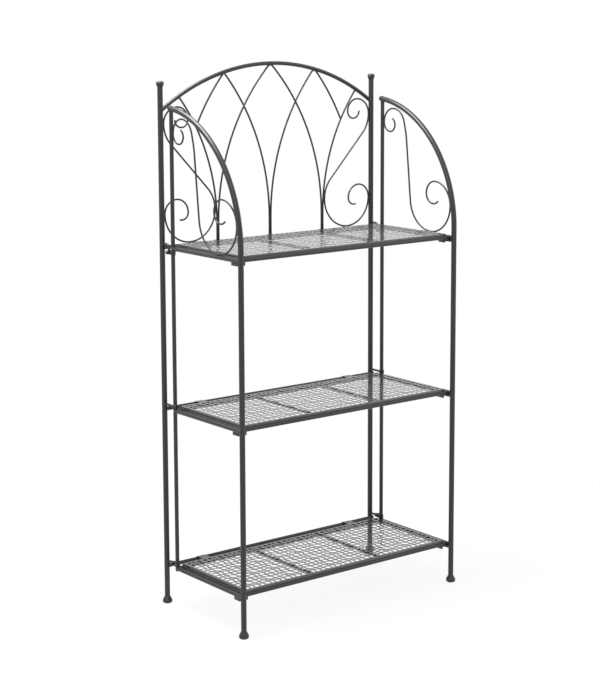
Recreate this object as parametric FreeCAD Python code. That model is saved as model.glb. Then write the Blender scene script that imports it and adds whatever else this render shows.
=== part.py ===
# Folding wire shelving unit: three shelves between two arched side frames and an arched lattice back.
# The side frames turn about their uprights and the shelves turn up about the back rails.
# Millimetres. Origin on the floor under the middle of the unit, +Z up, front towards -Y.
import FreeCAD, Part
import math
import os

Vector = FreeCAD.Vector
os.makedirs("parts", exist_ok=True)

# Driving dimensions
unit_width = 580.0
unit_depth = 290.0
unit_height = 1150.0
post_diameter = 11.5
post_wall = 1.0
rod_diameter = 8.5
shelf_rod_diameter = 8.0
cross_rod_diameter = 6.0
lattice_wire_diameter = 3.6
scroll_wire_diameter = 3.2

# Heights of the rails and of the arches
bottom_level = 85.5
crown_rise = 378.5
back_arch_rise = 88.0
side_arch_spring_rise = 20.5
side_arch_rise = 289.5
upright_foot_drop = 5.5

# Clearances and the overrun of cuts
seat = 0.05
running = 0.1
swing_gap = 0.4
rest_gap = 0.25
overrun = 5.0

# Feet and finials
foot_diameter = 21.0
foot_height = 14.0
foot_floor = 3.0
foot_rim_height = 5.5
foot_rim_bevel = 2.5
foot_collar_diameter = 14.5
finial_diameter = 16.5
finial_top_drop = 34.0
finial_neck_height = 1.0
finial_neck_diameter = 11.0
finial_squash = 0.8
finial_steps = 8
finial_tip_share = 0.098
spigot_length = 12.0

# Side frame and shelf layout
upright_setback = 40.0
upright_bevel = 1.4
shelf_side_inset = 12.0
shelf_front_gap = 0.75
shelf_rear_offset = 29.0
lip_height = 4.5
sheet_thickness = 1.0
sheet_corner = 3.0
sheet_margin = 8.25
sheet_open_share = 0.36
sheet_columns = 6
sheet_rows = 4
cross_rod_share = 0.333

# Hinge loops of the shelves
loop_inset = 81.25
loop_width = 20.0
loop_thickness = 1.0
loop_tail = 8.0
notch_gap = 0.3

# Hinges of the side frames
eye_thickness = 1.5
eye_height = 8.0
arm_diameter = 5.0
arm_bend = 9.0
tang_thickness = 3.0
tang_width = 7.0
tang_length = 9.0
strap_thickness = 1.2
ear_margin = 4.0
bolt_setback = 14.25
bolt_diameter = 4.0
bolt_head_diameter = 7.5
bolt_head_height = 2.4
nut_sides = 6
nut_flats = 7.5
nut_height = 3.2
nut_dome_height = 2.8
nut_dome_share = 0.5

# Shelf tabs
tab_width = 20.0
tab_setback = 10.0
tab_outreach = 2.0
tab_inreach = 18.0
tab_thickness = 2.0
tab_drop = 6.5

# Lattice of the back
pair_spacing = 3.8
layer_spacing = 3.7
stem_share = 0.5
side_apex_share = 0.4274
outer_apex_share = 0.84
lattice_spring_rise = 40.5
stem_foot_width = 12.0
stem_foot_height = 6.0

# Back scroll: radii as shares of its bay's width, and degrees turned, from one end to the other
back_bulge_drop = 30.75
back_scroll_bottom_rise = 4.5
back_scroll_slenderness = 0.46
back_upper_shares = ((0.1275, -180.0), (0.2087, -90.0), (0.263, -90.0))
back_upper_bulge_share = 0.487
back_lower_bulge_share = 0.506
back_lower_shares = ((0.232, 90.0), (0.224, 90.0), (0.122, 109.0))

# Side scroll in the same way, with two straight runs between its upper and lower bends
side_bow_gap = 3.1
side_scroll_heading = 202.0
side_upper_shares = ((0.0595, 68.0), (0.0671, 90.0), (0.086, 90.0))
side_shoulder_shares = (0.1312, 0.155)
side_waist_share = 0.67
side_waist_turn = 9.0
side_run_share = 0.125
side_belly_shares = (0.289, 0.2558)
side_lower_bulge_share = 0.2096
side_lower_shares = ((0.1132, -90.0), (0.0935, -90.0), (0.092, -44.0))

# Sides of the sections of bent wires, lattice wires and rods, and how far a chord may leave its arc
scroll_sides = 6
wire_sides = 8
rod_sides = 12
turned_sides = 20
chord_sag = 0.2

# Worked out from the sizes above
post_radius = post_diameter / 2
post_bore_radius = post_radius - post_wall
rod_radius = rod_diameter / 2
shelf_rod_radius = shelf_rod_diameter / 2
cross_rod_radius = cross_rod_diameter / 2
lattice_radius = lattice_wire_diameter / 2
scroll_radius = scroll_wire_diameter / 2
arm_radius = arm_diameter / 2
post_x = unit_width / 2 - post_radius
post_y = unit_depth / 2 - post_radius
upright_y = post_y - upright_setback
side_bay = upright_y + post_y
back_rail_y = post_y - post_radius - rod_radius - seat
crown_axis = unit_height - rod_radius
shoulder_axis = crown_axis - back_arch_rise
finial_top = unit_height - finial_top_drop
finial_base = finial_top - finial_diameter * finial_squash - finial_neck_height
top_level = unit_height - crown_rise
middle_level = (bottom_level + top_level) / 2
side_arch_spring = top_level + side_arch_spring_rise
side_arch_top = top_level + side_arch_rise
levels = {"bottom": bottom_level, "middle": middle_level, "top": top_level}
sides = {"left": -1, "right": 1}

shelf_x = post_x - shelf_side_inset
shelf_front = post_radius + shelf_front_gap + shelf_rod_radius - post_y
shelf_rear = back_rail_y - shelf_rear_offset
loop_rise = rod_radius + running
shelf_rod_rise = loop_rise - seat - shelf_rod_radius
sheet_rise = loop_rise + lip_height
bolt_y = upright_y + bolt_setback
clip_radius = rod_radius + running + strap_thickness
clip_rise = rod_radius + swing_gap + eye_height / 2
stem_x = post_x * stem_share
lattice_spring = top_level + lattice_spring_rise
wire_bottom = top_level + stem_foot_height / 2 + seat


def save(name, *solids):
    """Write one sub-part, a single solid or a group of alike ones."""
    shape = solids[0] if len(solids) == 1 else Part.makeCompound(list(solids))
    shape.exportStep("parts/" + name + ".step")


def box(low, high):
    """Box between two opposite corners."""
    size = high - low
    return Part.makeBox(size.x, size.y, size.z, low)


def box_side(side, x):
    """Everything outboard of a plane across the unit."""
    far = side * (unit_width + unit_width)
    return box(Vector(min(x, far), -unit_depth, 0), Vector(max(x, far), unit_depth, unit_height))


def rod(start, end, radius):
    """Straight round rod between two points."""
    axis = end - start
    return Part.makeCylinder(radius, axis.Length, start, axis)


def back_plane(side, setback=0):
    """Map from across and up to the plane of the back, mirrored for the left side."""
    return lambda across, up: Vector(side * across, post_y + setback, up)


def side_plane(side):
    """Map from along and up to the plane of a side frame."""
    return lambda along, up: Vector(side * post_x, along, up)


def step_end(place, heading, size, turn):
    """Where a straight run (no turn) or a tangent arc ends, and its heading in degrees there."""
    before, after = math.radians(heading), math.radians(heading + turn)
    if turn == 0:
        return (place[0] + size * math.cos(before), place[1] + size * math.sin(before)), heading
    side = math.copysign(size, turn)
    shift = (math.sin(after) - math.sin(before), math.cos(before) - math.cos(after))
    return (place[0] + side * shift[0], place[1] + side * shift[1]), heading + turn


def walk_end(place, heading, steps):
    """Where a chain of steps ends, and its heading there."""
    for size, turn in steps:
        place, heading = step_end(place, heading, size, turn)
    return place, heading


def walk_start(target, heading, steps):
    """Where a chain of steps must start to end at the target."""
    end, _ = walk_end((0, 0), heading, steps)
    return target[0] - end[0], target[1] - end[1]


def corners_of(place, heading, steps):
    """Corners of a chain of steps, each arc drawn as chords that leave it by no more than the sag."""
    corners = [place]
    for size, turn in steps:
        count = 1
        if turn:
            count = math.ceil(abs(turn) / math.degrees(math.acos(1 - chord_sag / size) * 2))
        corners += [step_end(place, heading, size, turn * (index + 1) / count)[0] for index in range(count)]
        place, heading = step_end(place, heading, size, turn)
    return corners


def section(place, across, normal, radius, count):
    """Corners of a many-sided section whose flats touch a circle of the given radius."""
    corner = radius / math.cos(math.pi / count)
    ring = []
    for index in range(count):
        angle = math.pi * (index + index + 1) / count
        ring.append(place + across * (corner * math.cos(angle)) + normal * (corner * math.sin(angle)))
    return ring


def bent(plane, place, heading, steps, radius, count):
    """Wire or tube bent along a chain of steps in a plane, mitred where its chords meet."""
    corners = [plane(*corner) for corner in corners_of(place, heading, steps)]
    normal = (plane(1, 0) - plane(0, 0)).cross(plane(0, 1) - plane(0, 0))
    across = [(end - start).normalize().cross(normal) for start, end in zip(corners, corners[1:])]
    mitres = [before + after for before, after in zip(across, across[1:])]
    for angle in (heading, walk_end(place, heading, steps)[1]):
        along = plane(math.cos(math.radians(angle)), math.sin(math.radians(angle))) - plane(0, 0)
        mitres.append(along.cross(normal))
    mitres.insert(0, mitres.pop(-2))
    rings = []
    for corner, mitre, run in zip(corners, mitres, across + across[-1:]):
        rings.append(section(corner, mitre * (1 / mitre.dot(run)), normal, radius, count))
    return skin(rings)


def bar(start, end, radius):
    """Straight many-sided rod between two level points."""
    up = Vector(0, 0, 1)
    across = (end - start).normalize().cross(up)
    return skin([section(place, across, up, radius, rod_sides) for place in (start, end)])


def lowest(shape):
    """The lowest of the pieces that a cut leaves."""
    return min(shape.Solids, key=lambda solid: solid.CenterOfMass.z)


def highest(shape):
    """The highest of the pieces that a cut leaves."""
    return max(shape.Solids, key=lambda solid: solid.CenterOfMass.z)


def post_tool(side, front):
    """Room that a post takes, for rods and bows that butt against it."""
    along = -post_y if front else post_y
    foot = Vector(side * post_x, along, 0)
    head = Vector(side * post_x, along, unit_height)
    return rod(foot, head, post_radius + seat)


def skin(rings):
    """Solid between flat end faces, its walls flat from each ring of corners to the next."""
    faces = [Part.Face(Part.makePolygon(ring + ring[:1])) for ring in (rings[0], rings[-1])]
    for low, high in zip(rings, rings[1:]):
        for index in range(len(low)):
            wall = [low[index - 1], low[index], high[index], high[index - 1], low[index - 1]]
            faces.append(Part.Face(Part.makePolygon(wall)))
    shell = Part.makeShell(faces)
    shell.sewShape()
    solid = Part.makeSolid(shell)
    if solid.Volume < 0:
        solid.reverse()
    return solid


def turned(outline, place):
    """Many-sided turned piece about an upright axis, from radii and heights; its flats touch the radii."""
    rings = []
    for radius, height in outline:
        corner = radius / math.cos(math.pi / turned_sides)
        ring = []
        for index in range(turned_sides):
            angle = math.pi * (index + index + 1) / turned_sides
            ring.append(place + Vector(corner * math.cos(angle), corner * math.sin(angle), height))
        rings.append(ring)
    return skin(rings)


def foot(side, along):
    """Turned bell foot with a socket that the post stands in."""
    rim, collar, bore = foot_diameter / 2, foot_collar_diameter / 2, post_radius + seat
    outline = [(rim - foot_rim_bevel, 0), (rim, foot_rim_bevel), (rim, foot_rim_height)]
    outline += [(collar, foot_height), (bore, foot_height), (bore, foot_floor)]
    return turned(outline, Vector(side * post_x, along, 0))


def finial(side):
    """Ball on a short neck, with a spigot that plugs the post's top."""
    radius, neck = finial_diameter / 2, finial_neck_diameter / 2
    plug = (post_bore_radius - seat) * math.cos(math.pi / turned_sides)
    half = radius * finial_squash
    middle = finial_top - half
    base, neck_top = finial_base, finial_base + finial_neck_height
    outline = [(plug, base - spigot_length), (plug, base), (post_radius, base)]
    outline += [(post_radius, (base + neck_top) / 2), (neck, neck_top)]
    for step in range(1, finial_steps):
        angle = math.pi * step / finial_steps - math.pi / 2
        if radius * math.cos(angle) > neck or angle > 0:
            outline.append((radius * math.cos(angle), middle + half * math.sin(angle)))
    outline.append((radius * finial_tip_share, finial_top))
    return turned(outline, Vector(side * post_x, post_y, 0))


def post(side, along, top):
    """Round tube that stands on the floor of its foot."""
    start, end = Vector(side * post_x, along, foot_floor + seat), Vector(side * post_x, along, top)
    return rod(start, end, post_radius).cut(rod(start, end, post_bore_radius))


def back_arch_trail():
    """Chain of the back arch from the left post to the right: start, heading and steps."""
    reach = post_x - post_radius
    radius = (reach * reach + back_arch_rise * back_arch_rise) / (back_arch_rise * 2)
    lean = math.degrees(math.asin(post_x / radius))
    drop = radius - math.sqrt(radius * radius - post_x * post_x)
    return (-post_x, crown_axis - drop), lean, [(radius, -lean * 2)]


def side_arch_radius():
    """Radius of the bow that the front post bends into."""
    rise = side_arch_top - side_arch_spring
    return (side_bay * side_bay + rise * rise) / (side_bay * 2)


def side_arch_trail():
    """Chain of the side arch from the front post to just behind the upright."""
    radius = side_arch_radius()
    reach = post_y + upright_y + post_radius - radius
    turn = 180 - math.degrees(math.acos(reach / radius))
    return (-post_y, side_arch_spring), 90, [(radius, -turn)]


def arch_height(across):
    """Height of the back arch's centre line at a distance from the middle."""
    _, _, steps = back_arch_trail()
    radius = steps[0][0]
    return crown_axis - radius + math.sqrt(radius * radius - across * across)


def lattice_wire(side, start_x, apex_x, setback):
    """Wire that rises straight from a stem, then leans over in one arc to its apex on the back arch."""
    rise = arch_height(apex_x) - lattice_spring
    reach = abs(apex_x - start_x)
    radius = (reach * reach + rise * rise) / (reach * 2)
    turn = math.degrees(math.atan2(rise, radius - reach))
    if apex_x > start_x:
        turn = -turn
    steps = [(lattice_spring - wire_bottom, 0), (radius, turn)]
    place = (start_x, wire_bottom)
    wire = bent(back_plane(side, setback), place, 90, steps, lattice_radius, wire_sides)
    room = bent(back_plane(side, setback), place, 90, steps, lattice_radius + seat, wire_sides)
    return wire, room


def lattice(arch_room):
    """Wires of one half and of the other: outer, inner, centre and short."""
    stem_out, stem_in = stem_x + pair_spacing / 2, stem_x - pair_spacing / 2
    side_apex, outer_apex = post_x * side_apex_share, post_x * outer_apex_share
    centre = pair_spacing / 2
    for name, side in sides.items():
        outer, outer_room = lattice_wire(side, stem_out, outer_apex, 0)
        inner, _ = lattice_wire(side, stem_in, 0, 0)
        middle, _ = lattice_wire(side, centre, side_apex, layer_spacing)
        short, _ = lattice_wire(side, side_apex + side_apex - centre, side_apex, 0)
        save("lattice_outer_" + name, lowest(outer.cut(arch_room)))
        save("lattice_inner_" + name, lowest(inner.common(box_side(side, side * seat)).cut(arch_room)))
        save("lattice_centre_" + name, lowest(middle.cut(arch_room)))
        save("lattice_short_" + name, lowest(highest(short.cut(outer_room)).cut(arch_room)))


def stem_foot(centre):
    """Block that joins a pair of wires to the top back rail."""
    low = Vector(centre - stem_foot_width / 2, back_rail_y, top_level - stem_foot_height / 2)
    back = post_y + layer_spacing + lattice_radius
    high = Vector(centre + stem_foot_width / 2, back, top_level + stem_foot_height / 2)
    return box(low, high).cut(back_rail(top_level, rod_radius + seat))


def back_rail(level, radius):
    """Rod that lies in front of the rear posts, and that a shelf turns about."""
    return rod(Vector(-post_x, back_rail_y, level), Vector(post_x, back_rail_y, level), radius)


def back_scroll(side):
    """Wire scroll between the outer stem and the post."""
    right = post_x - post_radius - scroll_radius - seat
    stem_side = stem_x + pair_spacing / 2 + lattice_radius + scroll_radius + seat
    bay = min(right - stem_side, (shoulder_axis - top_level) * back_scroll_slenderness)
    upper, lower = bay * back_upper_bulge_share, bay * back_lower_bulge_share
    stem_out, outer_apex = stem_x + pair_spacing / 2, post_x * outer_apex_share
    rise, reach = arch_height(outer_apex) - lattice_spring, outer_apex - stem_out
    wire_curve = (reach * reach + rise * rise) / (reach * 2)
    inner_curve = wire_curve - lattice_radius - scroll_radius - seat - lower
    bottom = top_level + back_scroll_bottom_rise
    lower_z = bottom + lower
    lower_x = stem_out + wire_curve - math.sqrt(inner_curve ** 2 - (lower_z - lattice_spring) ** 2)
    upper_x, upper_z = right - upper, shoulder_axis - back_bulge_drop
    span = math.hypot(lower_x - upper_x, lower_z - upper_z)
    length = math.sqrt(span ** 2 - (upper + lower) ** 2)
    lean = math.atan2(upper + lower, length)
    heading = math.degrees(math.atan2(lower_z - upper_z, lower_x - upper_x) - lean)
    steps = [(bay * share, turn) for share, turn in back_upper_shares]
    place = walk_start((right, upper_z), -90, steps)
    steps += [(upper, heading + 90), (length, 0), (lower, -heading), (right - lower_x, 90)]
    steps += [(bay * share, turn) for share, turn in back_lower_shares]
    return bent(back_plane(side), place, -90, steps, scroll_radius, scroll_sides)


def waist_run(start, end, before, after):
    """Length of the straight runs between bends about two centres, and the heading that they set off at."""
    radius, turn = side_bay * side_waist_share, math.radians(side_waist_turn)
    first, second = side_run_share, 1 - side_run_share
    fixed = ((radius + after) * math.sin(turn), radius - before - (radius + after) * math.cos(turn))
    grown = (first + second * math.cos(turn), second * math.sin(turn))
    square = grown[0] ** 2 + grown[1] ** 2
    half = fixed[0] * grown[0] + fixed[1] * grown[1]
    spare = fixed[0] ** 2 + fixed[1] ** 2 - math.dist(start, end) ** 2
    run = (math.sqrt(half ** 2 - square * spare) - half) / square
    lean = math.atan2(fixed[1] + run * grown[1], fixed[0] + run * grown[0])
    heading = math.atan2(end[1] - start[1], end[0] - start[0]) - lean
    return run, math.degrees(heading) % 360


def side_scroll(side):
    """Wire scroll between the bow, the upright and the top side rail."""
    upper = [(side_bay * share, turn) for share, turn in side_upper_shares]
    lower = [(side_bay * share, turn) for share, turn in side_lower_shares]
    small, large = [side_bay * share for share in side_shoulder_shares]
    belly, heel = [side_bay * share for share in side_belly_shares]
    bulge = side_bay * side_lower_bulge_share
    front_z = top_level + rod_radius + scroll_radius + seat + heel
    radius = side_arch_radius()
    inner_curve = radius - post_radius - scroll_radius - seat - bulge
    middle_y = radius - post_y - math.sqrt(inner_curve ** 2 - max(front_z - side_arch_spring, 0) ** 2)
    rear_y = upright_y - rod_radius - scroll_radius - seat
    reach = radius - post_y - rear_y + small
    room = radius - post_radius - scroll_radius - side_bow_gap - large
    shoulder_centre = (rear_y - small, side_arch_spring + math.sqrt(room ** 2 - reach ** 2))
    belly_centre = (middle_y - bulge + heel, front_z - heel + belly)
    run, heading = waist_run(shoulder_centre, belly_centre, large, belly)
    rear = (rear_y, shoulder_centre[1] + large - small)
    place = walk_start(rear, side_scroll_heading, upper)
    steps = upper + [(small, 90), (large, heading - 180)]
    steps += [(run * side_run_share, 0), (side_bay * side_waist_share, side_waist_turn)]
    steps += [(run * (1 - side_run_share), 0), (belly, 180 - heading - side_waist_turn), (heel, -90)]
    steps += [(bulge, -90)] + lower
    return bent(side_plane(side), place, side_scroll_heading, steps, scroll_radius, scroll_sides)


def upright_room(side, clearance):
    """Room round the rod that a side frame turns about."""
    low, high = Vector(side * post_x, upright_y, 0), Vector(side * post_x, upright_y, unit_height)
    return rod(low, high, rod_radius + clearance)


def upright(side, arch_room):
    """Rod with a rounded lower end that rises to the bow."""
    low = Vector(side * post_x, upright_y, bottom_level - upright_foot_drop)
    high = Vector(side * post_x, upright_y, side_arch_top)
    body = rod(low, high, rod_radius)
    rim = [edge for edge in body.Edges if abs(edge.CenterOfMass.z - low.z) < seat and edge.Closed]
    return lowest(body.makeChamfer(upright_bevel, rim[:1]).cut(arch_room))


def side_rail(side, level):
    """Rod from the front post to the upright, with both ends shaped to them."""
    body = bar(Vector(side * post_x, -post_y, level), Vector(side * post_x, upright_y, level), rod_radius)
    return body.cut(post_tool(side, True)).cut(upright_room(side, seat))


def shelf_tab(side, level):
    """Saddle under a side rail that reaches inboard for the shelf's side rod to rest on."""
    top = level + shelf_rod_rise - shelf_rod_radius - rest_gap
    outer, inner = side * (post_x + tab_outreach), side * (post_x - tab_inreach)
    front, rear = tab_setback - post_y, tab_setback + tab_width - post_y
    left, right = min(outer, inner), max(outer, inner)
    plate = box(Vector(left, front, top - tab_thickness), Vector(right, rear, top))
    one = box(Vector(left, front, top - tab_drop), Vector(left + tab_thickness, rear, top))
    two = box(Vector(right - tab_thickness, front, top - tab_drop), Vector(right, rear, top))
    saddle = plate.fuse([one, two]).removeSplitter()
    start, end = Vector(side * post_x, -post_y, level), Vector(side * post_x, upright_y, level)
    return saddle.cut(bar(start, end, rod_radius + seat))


def pivot_ring(side, radius, low, high):
    """Many-sided disc about the axis that a side frame turns on."""
    return turned([(radius, low), (radius, high)], Vector(side * post_x, upright_y, 0))


def clip(side, height):
    """Strap round the upright, open to the rear, with two ears that a bolt closes on the hinge arm."""
    x, low, high = side * post_x, height - eye_height / 2, height + eye_height / 2
    gap = tang_thickness / 2 + seat
    ring = pivot_ring(side, clip_radius, low, high)
    reach = bolt_y + ear_margin
    width = gap + strap_thickness
    ears = box(Vector(x - width, upright_y, low), Vector(x + width, reach, high))
    slot = box(Vector(x - gap, upright_y, low - overrun), Vector(x + gap, reach + overrun, high + overrun))
    hole = bolt_run(side, height, bolt_diameter / 2 + seat, overrun)
    bore = pivot_ring(side, rod_radius + running, low - overrun, high + overrun)
    return ring.fuse(ears).removeSplitter().cut(slot).cut(bore).cut(hole)


def bolt_run(side, height, radius, extra):
    """Round bar along a clip's bolt, from the outer face of one ear to that of the other and beyond."""
    reach = tang_thickness / 2 + seat + strap_thickness + extra
    start = Vector(side * post_x - side * reach, bolt_y, height)
    return bar(start, start + Vector(side * (reach + reach), 0, 0), radius)


def tang(x, low, high):
    """Flattened end of a hinge arm between the ears."""
    half = tang_thickness / 2
    return box(Vector(x - half, low[0], low[1]), Vector(x + half, high[0], high[1]))


def straight_arm(side, height):
    """Arm from the rear post to the clip above the bottom side rail."""
    x = side * post_x
    flat_end, half = bolt_y + tang_length, tang_width / 2
    shank = bar(Vector(x, flat_end, height), Vector(x, post_y - post_radius - seat, height), arm_radius)
    flat = tang(x, (bolt_y - ear_margin, height - half), (flat_end, height + half))
    return shank.fuse(flat).cut(bolt_run(side, height, bolt_diameter / 2 + seat, overrun))


def eye_arm(side, height):
    """Arm from the rear post with a plain eye round the upright."""
    x = side * post_x
    radius = rod_radius + running + eye_thickness
    low, high = height - eye_height / 2, height + eye_height / 2
    ring = pivot_ring(side, radius, low, high)
    shank = bar(Vector(x, upright_y, height), Vector(x, post_y - post_radius - seat, height), arm_radius)
    return ring.fuse(shank).cut(pivot_ring(side, rod_radius + running, low - overrun, high + overrun))


def hook_arm(side, height):
    """Arm that leaves the rear post above the top back rail and hooks down to the clip."""
    start = (post_y - post_radius - seat, top_level + rod_radius + swing_gap + arm_radius)
    steps = [(start[0] - bolt_y - arm_bend, 0), (arm_bend, 90)]
    end, _ = walk_end(start, 180, steps)
    flat_top = height + eye_height / 2 + arm_radius
    steps.append((end[1] - flat_top, 0))
    shank = bent(side_plane(side), start, 180, steps, arm_radius, rod_sides)
    half = tang_width / 2
    flat = tang(side * post_x, (bolt_y - half, height - eye_height / 2), (bolt_y + half, flat_top))
    return shank.fuse(flat).cut(bolt_run(side, height, bolt_diameter / 2 + seat, overrun))


def bolt(side, height):
    """Bolt through a clip, its head inboard and its end against the bottom of the dome nut."""
    shank = bolt_run(side, height, bolt_diameter / 2, 0)
    inner = Vector(side * (post_x - tang_thickness / 2 - seat - strap_thickness), bolt_y, height)
    head = bar(inner - Vector(side * bolt_head_height, 0, 0), inner, bolt_head_diameter / 2)
    return shank.fuse(head).removeSplitter()


def dome_nut(side, height):
    """Six-sided nut with a closed dome, on the outboard end of a bolt."""
    x = side * (post_x + tang_thickness / 2 + seat + strap_thickness + seat)
    start = Vector(x, bolt_y, height)
    top = start + Vector(side * nut_height, 0, 0)
    tip = top + Vector(side * nut_dome_height, 0, 0)
    along, up = Vector(0, side, 0), Vector(0, 0, 1)
    half = nut_flats / 2
    body = skin([section(place, along, up, half, nut_sides) for place in (start, top)])
    ends = ((top, half), (tip, half * nut_dome_share))
    dome = skin([section(place, along, up, radius, rod_sides) for place, radius in ends])
    return body.fuse(dome).removeSplitter()


def shelf_panel(level):
    """Sheet with openings and a turned-down lip, notched at the back for the hinge loops."""
    low = level + loop_rise
    high = level + sheet_rise
    outer = pan(0, low, high)
    hollow = pan(sheet_thickness, low - overrun, high - sheet_thickness)
    panel = outer.cut(hollow)
    for side in sides.values():
        x = side * (post_x - loop_inset)
        half = loop_width / 2 + notch_gap
        notch_top = low + loop_thickness + notch_gap
        front, rear = shelf_rear - sheet_thickness - overrun, shelf_rear + overrun
        panel = panel.cut(box(Vector(x - half, front, low - overrun), Vector(x + half, rear, notch_top)))
    return panel.cut(sheet_openings(low, high + overrun))


def sheet_openings(low, high):
    """Grid of openings through a sheet, as open as its fine pattern, with strands over the cross rods."""
    left, front = sheet_margin - shelf_x, sheet_margin + shelf_front
    column = (-left - left) / sheet_columns
    row = (shelf_rear - sheet_margin - front) / sheet_rows
    half = Vector(column, row, 0) * (math.sqrt(sheet_open_share) / 2)
    openings = []
    for across in range(sheet_columns):
        for along in range(sheet_rows):
            middle = Vector(left + column * (across + 1 / 2), front + row * (along + 1 / 2), low)
            openings.append(box(middle - half, middle + half + Vector(0, 0, high - low)))
    return openings


def upright_edge(edge):
    """Whether an edge of a block stands upright."""
    low, high = [vertex.Point for vertex in edge.Vertexes]
    return low.isEqual(Vector(high.x, high.y, low.z), seat)


def pan(inset, low, high):
    """Block with rounded upright corners, set in from the shelf's outline."""
    front, rear = shelf_front + inset, shelf_rear - inset
    body = box(Vector(inset - shelf_x, front, low), Vector(shelf_x - inset, rear, high))
    corners = [edge for edge in body.Edges if upright_edge(edge)]
    return body.makeFillet(sheet_corner - inset, corners)


def shelf_frame(level):
    """Front and rear rods, and two side rods that butt between them."""
    height = level + shelf_rod_rise
    reach = shelf_x + shelf_rod_radius
    rods = []
    for along in (shelf_front, shelf_rear):
        rods.append(bar(Vector(-reach, along, height), Vector(reach, along, height), shelf_rod_radius))
    front, rear = shelf_front + shelf_rod_radius + seat, shelf_rear - shelf_rod_radius - seat
    for side in sides.values():
        x = side * shelf_x
        rods.append(bar(Vector(x, front, height), Vector(x, rear, height), shelf_rod_radius))
    return rods


def cross_rods(level):
    """Two rods that stiffen the sheet from below and butt against the front and rear rods."""
    height = level + sheet_rise - sheet_thickness - cross_rod_radius - seat
    inset = shelf_rod_radius + seat
    rods = []
    for side in sides.values():
        x = side * shelf_x * cross_rod_share
        start, end = Vector(x, shelf_front + inset, height), Vector(x, shelf_rear - inset, height)
        rods.append(bar(start, end, cross_rod_radius))
    return rods


def hinge_loop(side, level):
    """Strap rolled round the back rail, its tail lying on the shelf's rear rod."""
    left = side * (post_x - loop_inset) - loop_width / 2
    right = left + loop_width
    outer = loop_rise + loop_thickness
    start, end = Vector(left, back_rail_y, level), Vector(right, back_rail_y, level)
    low = Vector(left, shelf_rear - loop_tail, level + loop_rise)
    tail = box(low, Vector(right, back_rail_y, level + outer))
    beyond = Vector(overrun, 0, 0)
    bore = bar(start - beyond, end + beyond, rod_radius + running)
    return bar(start, end, outer).fuse(tail).removeSplitter().cut(bore)


# Rear frame
arch_start, arch_heading, arch_steps = back_arch_trail()
back_arch = bent(back_plane(1), arch_start, arch_heading, arch_steps, rod_radius, rod_sides)
back_arch_room = bent(back_plane(1), arch_start, arch_heading, arch_steps, rod_radius + seat, rod_sides)
for side in sides.values():
    back_arch = highest(back_arch.cut(post_tool(side, False)))
save("back_arch", back_arch)
lattice(back_arch_room)
save("lattice_feet", *[stem_foot(centre) for centre in (-stem_x, 0, stem_x)])
for name, level in levels.items():
    save("back_rail_" + name, back_rail(level, rod_radius))
for name, side in sides.items():
    save("rear_post_" + name, post(side, post_y, finial_base - seat))
    save("back_scroll_" + name, back_scroll(side))
save("rear_feet", *[foot(side, post_y) for side in sides.values()])
save("finials", *[finial(side) for side in sides.values()])

# Hinges of the side frames
clip_heights = (bottom_level + clip_rise, top_level - clip_rise)
save("hinge_arms_bottom", *[straight_arm(side, clip_heights[0]) for side in sides.values()])
save("hinge_arms_middle", *[eye_arm(side, middle_level + clip_rise) for side in sides.values()])
save("hinge_arms_top", *[hook_arm(side, clip_heights[1]) for side in sides.values()])
save("hinge_clips", *[clip(side, height) for side in sides.values() for height in clip_heights])
save("hinge_bolts", *[bolt(side, height) for side in sides.values() for height in clip_heights])
save("hinge_dome_nuts", *[dome_nut(side, height) for side in sides.values() for height in clip_heights])

# Side frames
for name, side in sides.items():
    bow_start, bow_heading, bow_steps = side_arch_trail()
    bow = bent(side_plane(side), bow_start, bow_heading, bow_steps, post_radius, rod_sides)
    bow_room = bent(side_plane(side), bow_start, bow_heading, bow_steps, post_radius + seat, rod_sides)
    save("side_arch_" + name, bow)
    save("front_post_" + name, post(side, -post_y, side_arch_spring - seat))
    save("front_foot_" + name, foot(side, -post_y))
    save("upright_" + name, upright(side, bow_room))
    save("side_scroll_" + name, side_scroll(side))
    for place, level in levels.items():
        save("side_rail_" + place + "_" + name, side_rail(side, level))
    save("shelf_tabs_" + name, *[shelf_tab(side, level) for level in levels.values()])

# Shelves
for name, level in levels.items():
    save("shelf_panel_" + name, shelf_panel(level))
    save("shelf_frame_" + name, *shelf_frame(level))
    save("cross_rods_" + name, *cross_rods(level))
    save("hinge_loops_" + name, *[hinge_loop(side, level) for side in sides.values()])
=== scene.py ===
"""Looks of a folding wire shelving unit, laid out as a Blender add-on and run as a script."""

import math
import random

import bmesh
import bpy
from mathutils import Euler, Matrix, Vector


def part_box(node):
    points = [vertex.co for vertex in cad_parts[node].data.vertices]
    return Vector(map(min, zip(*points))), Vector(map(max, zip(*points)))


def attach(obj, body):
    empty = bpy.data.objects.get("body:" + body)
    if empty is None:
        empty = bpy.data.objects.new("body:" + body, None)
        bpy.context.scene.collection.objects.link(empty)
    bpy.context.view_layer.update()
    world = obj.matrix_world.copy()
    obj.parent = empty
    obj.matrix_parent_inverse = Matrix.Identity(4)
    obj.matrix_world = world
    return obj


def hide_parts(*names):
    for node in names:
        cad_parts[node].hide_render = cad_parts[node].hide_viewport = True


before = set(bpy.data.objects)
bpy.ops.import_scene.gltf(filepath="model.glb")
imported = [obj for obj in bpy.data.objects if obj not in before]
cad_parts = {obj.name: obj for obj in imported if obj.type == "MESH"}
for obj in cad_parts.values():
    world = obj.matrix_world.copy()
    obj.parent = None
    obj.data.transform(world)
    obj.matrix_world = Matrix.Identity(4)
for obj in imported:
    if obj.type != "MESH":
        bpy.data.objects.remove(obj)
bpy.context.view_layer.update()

bl_info = {
    "name": "Folding wire shelving unit",
    "version": (1, 0, 0),
    "blender": (4, 5, 0),
    "location": "View3D > Sidebar > Shelving",
    "description": "Wires, perforated shelves, hinges and paint of a folding shelving unit",
    "category": "Add Mesh",
}

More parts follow.
